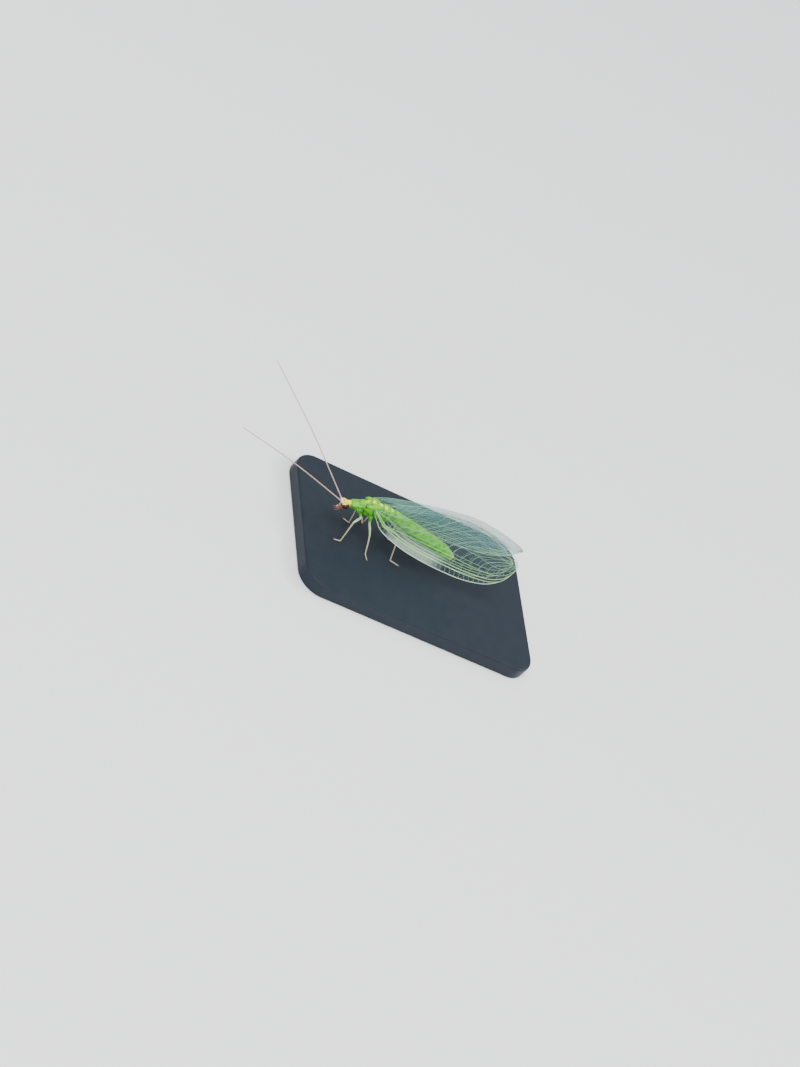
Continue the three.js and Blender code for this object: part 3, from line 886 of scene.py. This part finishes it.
mouth_rods = []
for side in (-1, 1):
    for line, radius in MOUTH_RADII:
        places = [head_at(*place, side) for place in line]
        for joint, (start, end) in enumerate(zip(places, places[1:])):
            here = radius * (1 - THINNER_A_JOINT * joint)
            mouth_rods.append(rod(start, end, here, here * JOINT_TAPER, sides=12))
settle(join(mouth_rods), "mouth_parts", horn_look)

# %% [markdown]
# ## Claws
#
# Every foot of the real insect ends in two small hooked claws with a soft pad
# between them; only the claws are modelled here. Each claw is a short tapered
# thread that bends down to the ground.

# %% Claws
CLAW_LENGTH = 0.13
CLAW_RADIUS = 0.024
CLAW_TIP_SHARE = 0.25
CLAW_TIP_HEIGHT = 0.012
CLAW_BEND = (0.6, 0.5)
CLAW_END = (1.0, 0.75)

claw_curve = thread_curve(2)
for joints in LEGS.values():
    ankle, toe = at(*joints[-2]), at(*joints[-1])
    forward = (toe - ankle).normalized() * CLAW_LENGTH
    sideways = forward.cross(Vector((0, 0, 1)))
    for spread in (-1, 1):
        out, tip = (
            toe + forward * ahead + sideways * spread * beside
            for ahead, beside in (CLAW_BEND, CLAW_END)
        )
        tip.z = base_top + CLAW_TIP_HEIGHT
        line = smooth_path([toe, out, tip], 4)
        radii = CLAW_RADIUS * np.linspace(1, CLAW_TIP_SHARE, len(line))
        add_thread(claw_curve, line, radii)
settle(curve_to_mesh(claw_curve), "foot_claws", horn_look)

# %% [markdown]
# ## Antennae
#
# Each antenna starts with a swollen base joint and runs on as a thread of many
# short rings, nearly as long as the body and wings together. A thread with a
# slightly larger radius at every ring gives the beaded look.

# %% Antennae
ANTENNA_RINGS = 90
ANTENNA_RADII = (0.044, 0.026)
ANTENNA_BOW = 0.2
ANTENNA_ROOT = (0.11, -2.56, -0.71)
ANTENNA_TIPS = {"left": (1.09, -14.16, 2.61), "right": (-5.5, -12.0, 4.55)}
RING_SWELL = 0.14
BASE_JOINTS = [(-0.04, 0.19, 0.09, 0.082), (0.26, 0.34, 0.062, 0.056)]
SCAPE_END = (0.24, 0.34)
ANTENNA_TANS = (0.3, 0.17, 0.14), (0.5, 0.34, 0.28)
SCAPE_CREAM = (0.85, 0.76, 0.36)

antenna_look = Finish("antenna", 0.5)
antenna_tone = antenna_look.mottle(3000.0, 0.3, 0.00002)
antenna_colour = antenna_look.mix(antenna_tone, *ANTENNA_TANS)
is_scape = antenna_look.attribute("scape")
antenna_look.set("Base Color", antenna_look.mix(is_scape, antenna_colour, SCAPE_CREAM))

for side, word in ((1, "left"), (-1, "right")):
    root = head_at(*ANTENNA_ROOT, side)
    tip = at(*ANTENNA_TIPS[word])
    middle = root.lerp(tip, 0.5) + Vector((0, 0, ANTENNA_BOW))
    path = smooth_path([root, middle, tip], ANTENNA_RINGS)
    ringed = 1 + RING_SWELL * (np.arange(len(path)) % 2)
    curve = thread_curve(2)
    add_thread(curve, path, np.linspace(*ANTENNA_RADII, len(path)) * ringed)
    pieces = [curve_to_mesh(curve)]
    way = (tip - root).normalized()
    for start, end, *radii in BASE_JOINTS:
        pieces.append(rod(root + way * start, root + way * end, *radii, sides=16))
    antenna = join(pieces)
    from_root = np.linalg.norm(point_values(antenna, "co") - np.array(root), axis=1)
    store(antenna, "scape", 1 - soft_step(from_root, *SCAPE_END))
    settle(antenna, f"antenna_whip_{word}", antenna_look, [f"antenna_{word}"])

# %% [markdown]
# ## Wings
#
# A wing is a clear sheet, thinner than paper, on a net of veins. Its shape is
# set by two rails from root to tip: the costal rail, which is the lower edge
# when the wings are folded, and the hind rail, which runs up to the ridge. The
# sheet and every vein are laid on the same surface between the two rails.

# %% Wing surface
FOREWING = {
    "costal": [(0.62, -0.4, 0.2), (0.74, 0.35, -0.5), (0.98, 1.3, -1.12), (1.35, 3.33, -1.54),
               (1.6, 5.3, -1.66), (1.76, 7.4, -1.64), (1.8, 9.4, -1.52), (1.74, 11.2, -1.06),
               (1.55, 12.3, -0.2), (1.25, 12.72, 0.75), (1.06, 12.8, 1.15)],
    "hind": [(0.6, -0.25, 0.45), (0.5, 0.4, 0.95), (0.3, 1.5, 1.55), (0.12, 3.5, 2.3),
             (0.08, 5.3, 2.72), (0.08, 7.0, 2.95), (0.14, 8.6, 2.8), (0.27, 9.9, 2.55),
             (0.48, 11.2, 2.18), (0.75, 12.3, 1.72), (1.0, 12.78, 1.3)],
    "bulge": 0.2,
}
HINDWING = {
    "costal": [(0.54, 0.85, 0.1), (0.62, 1.5, -0.5), (0.9, 3.2, -1.08), (1.16, 5.2, -1.3),
               (1.34, 7.4, -1.32), (1.4, 9.3, -1.2), (1.36, 10.9, -0.8), (1.2, 11.9, -0.05),
               (1.0, 12.3, 0.75), (0.86, 12.4, 1.1)],
    "hind": [(0.5, 0.95, 0.4), (0.42, 1.7, 0.9), (0.24, 3.2, 1.6), (0.16, 5.2, 2.15),
             (0.16, 7.2, 2.45), (0.2, 8.8, 2.35), (0.32, 10.2, 2.1), (0.5, 11.3, 1.75),
             (0.7, 12.1, 1.4), (0.82, 12.38, 1.22)],
    "bulge": 0.1,
}
RAIL_STEPS = 24
RIGHT_WING_SLIDE = 0.6
RIGHT_WING_LIFT = 0.22
RIGHT_WING_LEAN = 0.3
WING_REACH = 13.0
TIP_START = 8.0
BULGE_START = (-0.1, 0.2)
BULGE_END = (0.8, 1.0)


def laid_back(x, y, z):
    """The right forewing lies a little further back and higher than the left one."""
    share = soft_step(y, 0.0, WING_REACH)
    inwards = RIGHT_WING_LEAN * soft_step(y, TIP_START, WING_REACH)
    return x - inwards, y + RIGHT_WING_SLIDE * share, z + RIGHT_WING_LIFT * share


RIGHT_FOREWING = dict(FOREWING)
for rail in ("costal", "hind"):
    RIGHT_FOREWING[rail] = [laid_back(*place) for place in FOREWING[rail]]


def length_shares(line):
    """How far along a line each of its points lies, as shares of its length."""
    steps = [math.dist(start, end) for start, end in zip(line, line[1:])]
    return np.concatenate([[0.0], np.cumsum(steps)]) / sum(steps)


def on_line(line, share, shares=None):
    """The point at a share of a line's length."""
    shares = length_shares(line) if shares is None else shares
    return tuple(float(np.interp(share, shares, values)) for values in np.transpose(line))


def wing_surface(wing, side):
    """A function from (along, across) to a place on the wing. Across is 0 at the
    costal edge and 1 at the hind edge."""
    rails = []
    for rail in (wing["costal"], wing["hind"]):
        path = np.array(smooth_path([at(*place, side) for place in rail], RAIL_STEPS))
        rails.append((path, length_shares(path)))

    def surface(along, across):
        low, high = (Vector(on_line(path, along, shares)) for path, shares in rails)
        place = low.lerp(high, across)
        fade = soft_step(along, *BULGE_START) * (1 - soft_step(along, *BULGE_END))
        place.x += side * wing["bulge"] * fade * 4 * across * (1 - across)
        return place

    return surface


# %% [markdown]
# The sheet is a grid whose corners are moved onto the wing's surface, with a
# thickness of about a fiftieth of a millimetre.

# %% Wing sheet
SHEET_ALONG = 110
SHEET_ACROSS = 36
SHEET_THICKNESS = 0.02
FRONT_FIELD_START = (0.12, 0.24)
FRONT_FIELD_END = (0.42, 0.56)
FRONT_FIELD_EDGE = (0.13, 0.19)


def wing_sheet(surface):
    deselect()
    bpy.ops.mesh.primitive_grid_add(
        x_subdivisions=SHEET_ALONG, y_subdivisions=SHEET_ACROSS, size=1.0,
        location=(0.5, 0.5, 0),
    )
    sheet = bpy.context.object
    bpy.ops.object.transform_apply()
    along, across, _ = point_values(sheet, "co").T
    # A strip of the front field near the leading edge, marked for a painted glint.
    painted_glint_field = soft_step(along, *FRONT_FIELD_START) * (1 - soft_step(along, *FRONT_FIELD_END))
    store(sheet, "painted_glint_field", painted_glint_field * (1 - soft_step(across, *FRONT_FIELD_EDGE)))
    for vertex in sheet.data.vertices:
        vertex.co = surface(vertex.co.x, vertex.co.y)
    change(sheet, "SOLIDIFY", thickness=SHEET_THICKNESS, offset=0.0)
    return sheet

# %% [markdown]
# The veins follow the lacewing's own plan. The costa runs round the whole edge.
# Behind it the subcosta and radius run side by side to the tip, joined to the
# edge by a ladder of cross veins. The radial sector leaves the radius and sends
# a row of branches to the outer edge, and two stepped rows of short veins, the
# gradates, join those branches. Each vein is a thread on the wing's surface.

# %% Vein plan
EDGE_VEIN = 0.034
MAIN_VEIN = 0.03
MIDDLE_VEIN = 0.017
FINE_VEIN = 0.0095
COSTA_THICKENS = 0.14
HIND_EDGE_FADES = 0.4
BRANCHES = 14
FORK_SPREAD = 0.015
COSTAL_CROSS_VEINS = 28
RADIAL_CROSS_VEINS = 14
CROSS_VEIN_SLANT = 0.012

SUBCOSTA = [(0, 0.3), (0.1, 0.19), (0.3, 0.135), (0.55, 0.12), (0.75, 0.1), (0.85, 0.04),
            (0.88, 0)]
RADIUS = [(0, 0.4), (0.1, 0.26), (0.3, 0.19), (0.55, 0.175), (0.75, 0.16), (0.88, 0.1),
          (0.96, 0)]
SECTOR = [(0.13, 0.24), (0.2, 0.3), (0.35, 0.33), (0.55, 0.32), (0.75, 0.29), (0.88, 0.22),
          (0.98, 0.12)]
INNER_LINE = [(0, 0.52), (0.08, 0.46), (0.2, 0.47), (0.35, 0.52), (0.55, 0.54), (0.72, 0.52),
              (0.86, 0.43), (0.95, 0.3)]
OUTER_LINE = [(0, 0.66), (0.08, 0.64), (0.2, 0.68), (0.35, 0.73), (0.55, 0.77), (0.72, 0.77),
              (0.86, 0.7), (0.95, 0.56), (0.985, 0.36)]
# The edge that the branches run to, from the middle of the hind edge to the tip.
OUTER_EDGE = [(0.3, 1), (0.98, 1), (1, 0.9), (1, 0.25)]
# Where the first and the last branch cross each line, as shares of its length,
# and the shift of every second one, which makes the gradates stepped.
CROSSINGS = [
    (SECTOR, 0.06, 0.94, 0),
    (INNER_LINE, 0.24, 0.96, CROSS_VEIN_SLANT),
    (OUTER_LINE, 0.3, 0.98, -CROSS_VEIN_SLANT),
    (OUTER_EDGE, 0.1, 0.96, 0),
]
COSTAL_FIELD = (0.02, 0.82)
RADIAL_FIELD = (0.17, 0.91)
ROOT_CROSS_VEINS = (0.05, 0.1, 0.15, 0.2)


def across_at(line, along):
    """How far across a lengthwise vein lies at a place along the wing."""
    return float(np.interp(along, *np.transpose(line)))


def wing_veins(surface, scale):
    """All veins of one wing as one mesh. Each thread knows how bright it is."""
    edge_curve, main_curve, fine_curve = (thread_curve(1) for _ in range(3))

    def vein(line, radius=FINE_VEIN, end_radius=None, steps=2, curve=fine_curve):
        """A smooth thread through points given as along and across."""
        last = radius if end_radius is None else end_radius
        path = smooth_path([Vector(point) for point in line], steps)
        points = [surface(*np.clip(point, 0, 1)) for point in path]
        add_thread(curve, points, np.linspace(radius, last, len(points)) * scale)

    def edge(curve, start, end, across, points, *radii):
        """A stretch of the wing's front or hind edge."""
        vein([(share, across) for share in np.linspace(start, end, points)], *radii, curve=curve)

    edge(main_curve, 0, COSTA_THICKENS, 0, 6, FINE_VEIN, EDGE_VEIN)
    edge(edge_curve, COSTA_THICKENS, 1, 0, 26, EDGE_VEIN, MIDDLE_VEIN)
    vein([(1, 0), (1, 1)], MIDDLE_VEIN, steps=6, curve=edge_curve)
    edge(edge_curve, 1, HIND_EDGE_FADES, 1, 20, MIDDLE_VEIN, FINE_VEIN)
    edge(fine_curve, HIND_EDGE_FADES, 0, 1, 12, FINE_VEIN)
    for line, *radii in (
        (SUBCOSTA, MAIN_VEIN, MIDDLE_VEIN), (RADIUS, MAIN_VEIN, MIDDLE_VEIN),
        (SECTOR, MIDDLE_VEIN, FINE_VEIN),
    ):
        vein(line, *radii, steps=8, curve=main_curve)
    for line in (INNER_LINE, OUTER_LINE):
        vein(line[:4], MIDDLE_VEIN, FINE_VEIN, steps=8)

    for along in np.linspace(*COSTAL_FIELD, COSTAL_CROSS_VEINS):
        vein([(along + CROSS_VEIN_SLANT, 0), (along, across_at(SUBCOSTA, along))])
    for along in np.linspace(*RADIAL_FIELD, RADIAL_CROSS_VEINS):
        beyond = along + CROSS_VEIN_SLANT
        vein([(along, across_at(RADIUS, along)), (beyond, across_at(SECTOR, beyond))])

    rows = []
    for line, first, last, shift in CROSSINGS:
        shares = np.linspace(first, last, BRANCHES) + shift * (np.arange(BRANCHES) % 2)
        rows.append([on_line(line, share) for share in shares])
    for start, first, second, at_edge, reached in zip(*rows, shares):
        fork = tuple(0.45 * near + 0.55 * far for near, far in zip(second, at_edge))
        vein([start, first, second, fork], FINE_VEIN * 1.25, FINE_VEIN, steps=6)
        for spread in (-FORK_SPREAD, FORK_SPREAD):
            vein([fork, on_line(OUTER_EDGE, reached + spread)], steps=3)
    for row in rows[1:3]:
        for ends in zip(row, row[1:]):
            vein(ends, FINE_VEIN * 1.1, steps=3)

    for along in ROOT_CROSS_VEINS:
        lines = [across_at(line, along) for line in (RADIUS, INNER_LINE, OUTER_LINE)]
        vein([(along, lines[0]), (along + 0.01, lines[1])])
        vein([(along, lines[1]), (along + 0.015, lines[2])])
        vein([(along, lines[2]), (along + 0.06, 0.85), (along + 0.1, 1)], steps=3)

    nets = []
    for curve, brightness in ((edge_curve, 1.0), (main_curve, 0.5), (fine_curve, 0.0)):
        net = curve_to_mesh(curve)
        store(net, "brightness", np.full(len(net.data.vertices), brightness))
        nets.append(net)
    return join(nets)

# %% [markdown]
# The sheet is almost clear, with a faint blue-green tint and a soft gloss, and
# each cell between the veins is very slightly domed, which makes it glint. A
# painted glint makes a strip of the front field near the leading edge whiter and
# less clear. The veins are pale green, brightest along the leading edge.

# %% Wing finishes
SHEET_CLEAR = 0.012
SHEET_GRAZING = 0.3
SHEET_TURN = (0.26, 0.55)
FIELD_GLINT_ALPHA = 0.2
SHEET_TEALS = (0.22, 0.5, 0.61), (0.36, 0.64, 0.69)
FIELD_PAINTED_GLINT = (0.7, 0.95, 0.75)
VEIN_GREENS = (0.16, 0.38, 0.18), (0.34, 0.58, 0.3)
MAIN_VEIN_GREEN = (0.4, 0.72, 0.22)
EDGE_VEIN_CREAM = (0.62, 0.7, 0.5)

sheet_look = Finish("wing membrane", 0.16, 1.0)
sheet_cells = sheet_look.texture("Voronoi", 1500.0)
sheet_cells.feature = "SMOOTH_F1"
sheet_look.bump(sheet_cells.outputs["Distance"], 0.5, 0.00006)
sheet_tone = sheet_look.texture("Noise", 400.0).outputs["Fac"]
glint_field = sheet_look.attribute("painted_glint_field")
sheet_colour = sheet_look.mix(sheet_tone, *SHEET_TEALS)
# Painted glint: the marked strip is whiter and less clear.
sheet_look.set("Base Color", sheet_look.mix(glint_field, sheet_colour, FIELD_PAINTED_GLINT))
turned_away = sheet_look.add("LayerWeight", {"Blend": 0.5}).outputs["Facing"]
clearness = sheet_look.ramp(turned_away, *SHEET_TURN, SHEET_CLEAR, SHEET_GRAZING, "LINEAR")
sheet_look.set("Alpha", sheet_look.combine("MULTIPLY_ADD", glint_field, FIELD_GLINT_ALPHA, clearness))

vein_look = Finish("wing vein", 0.4)
vein_colour = vein_look.mix(vein_look.mottle(1500.0, 0.2, 0.00001), *VEIN_GREENS)
brightness = vein_look.attribute("brightness")
is_main = vein_look.ramp(brightness, 0.0, 0.5)
is_edge = vein_look.ramp(brightness, 0.5, 1.0)
vein_colour = vein_look.mix(is_main, vein_colour, MAIN_VEIN_GREEN)
vein_look.set("Base Color", vein_look.mix(is_edge, vein_colour, EDGE_VEIN_CREAM))

# %% [markdown]
# Each wing is made twice over from its surface, as a sheet and as veins. The
# hindwings lie under the forewings and have thinner veins.

# %% The four wings
HIND_VEINS = 0.55
for kind, wings, scale in (
    ("forewing", (FOREWING, RIGHT_FOREWING), 1.0),
    ("hindwing", (HINDWING, HINDWING), HIND_VEINS),
):
    for wing, side, word in zip(wings, (1, -1), ("left", "right")):
        surface = wing_surface(wing, side)
        sheet = wing_sheet(surface)
        settle(sheet, f"{kind}_sheet_{word}", sheet_look, [f"{kind}_{word}"])
        settle(wing_veins(surface, scale), f"{kind}_veins_{word}", vein_look)

# %% [markdown]
# ## Base
#
# The base is a flat slab of dark satin acrylic with rounded corners. A cube is
# stretched to the box of the solid one, its four upright edges are bevelled wide,
# and then its rims narrowly. Weighted normals keep the broad faces flat in light.

# %% Base
BASE_CORNER = 1.95
BASE_CORNER_STEPS = 24
BASE_RIM = 0.15
BASE_RIM_STEPS = 4
SHARP_EDGE = 40

base_size = (base_high - base_low) / MM
deselect()
bpy.ops.mesh.primitive_cube_add(
    size=1.0, location=(base_high + base_low) / (2 * MM), scale=base_size
)
slab = bpy.context.object
bpy.ops.object.transform_apply(location=False, rotation=False, scale=True)
wide_edges = slab.data.attributes.new("bevel_weight_edge", "FLOAT", "EDGE")
for edge in slab.data.edges:
    start, end = (slab.data.vertices[index].co for index in edge.vertices)
    wide_edges.data[edge.index].value = float(abs(start.z - end.z) > base_size.z / 2)
change(
    slab, "BEVEL", limit_method="WEIGHT", width=BASE_CORNER, segments=BASE_CORNER_STEPS,
)
change(
    slab, "BEVEL", limit_method="ANGLE", angle_limit=math.radians(SHARP_EDGE),
    width=BASE_RIM, segments=BASE_RIM_STEPS,
)
make_active(slab)
bpy.ops.object.shade_smooth()
change(slab, "WEIGHTED_NORMAL")
print("base, mm:", [round(side, 2) for side in base_size])

# %% [markdown]
# Real acrylic isn't perfectly even: its gloss and its dark blue-grey vary a
# little, and its surface is very slightly wavy.

# %% Base finish
ACRYLIC_TONES = (0.011, 0.017, 0.025), (0.018, 0.024, 0.032)
ACRYLIC_ROUGHNESS = (0.42, 0.47)
base_look = Finish("dark acrylic", 0.45, 0.12)
base_tone = base_look.texture("Noise", 900.0).outputs["Fac"]
base_look.set("Roughness", base_look.ramp(base_tone, 0.0, 1.0, *ACRYLIC_ROUGHNESS, "LINEAR"))
base_look.set("Base Color", base_look.mix(base_tone, *ACRYLIC_TONES))
base_look.bump(base_tone, 0.1, 0.00001)
settle(slab, "stand_slab", base_look, ["stand_base"])

# %% [markdown]
# ## Floor and light
#
# The floor is plain and pale, and reaches past every edge of the picture.

# %% Floor
FLOOR_SIZE = 4.0
FLOOR_GREY = (0.86, 0.86, 0.87)
deselect()
bpy.ops.mesh.primitive_plane_add(size=FLOOR_SIZE, location=(0, 0, 0))
floor = bpy.context.object
floor.name = "floor"
floor_look = Finish("pale floor", 0.7)
floor_look.set("Base Color", FLOOR_GREY)
floor.data.materials.append(floor_look.material)

# %% [markdown]
# One large soft light stands high in front and one behind. A weaker one stands
# low on the insect's left, where it lights the inner face of the far wing, and
# the surroundings give the rest.

# %% Light
SKY_COLOUR = (0.93, 0.96, 1.0)
world = bpy.data.worlds.new("studio")
world.use_nodes = True
sky = world.node_tree.nodes["Background"]
sky.inputs["Color"].default_value = (*SKY_COLOUR, 1.0)
bpy.context.scene.world = world


def soft_light(name, place, size, power):
    """A square light that looks at the insect."""
    data = bpy.data.lights.new(name, "AREA")
    data.size = size
    data.energy = power
    lamp = bpy.data.objects.new(name, data)
    bpy.context.scene.collection.objects.link(lamp)
    lamp.location = place
    aim = at(0, 2, 0) * MM - Vector(place)
    lamp.rotation_euler = aim.to_track_quat("-Z", "Y").to_euler()


soft_light("key light", (0.12, -0.1, 0.3), 0.18, 1.4)
soft_light("back light", (-0.02, 0.3, 0.24), 0.15, 0.8)
soft_light("low light", (0.3, 0.0, 0.1), 0.15, 0.25)
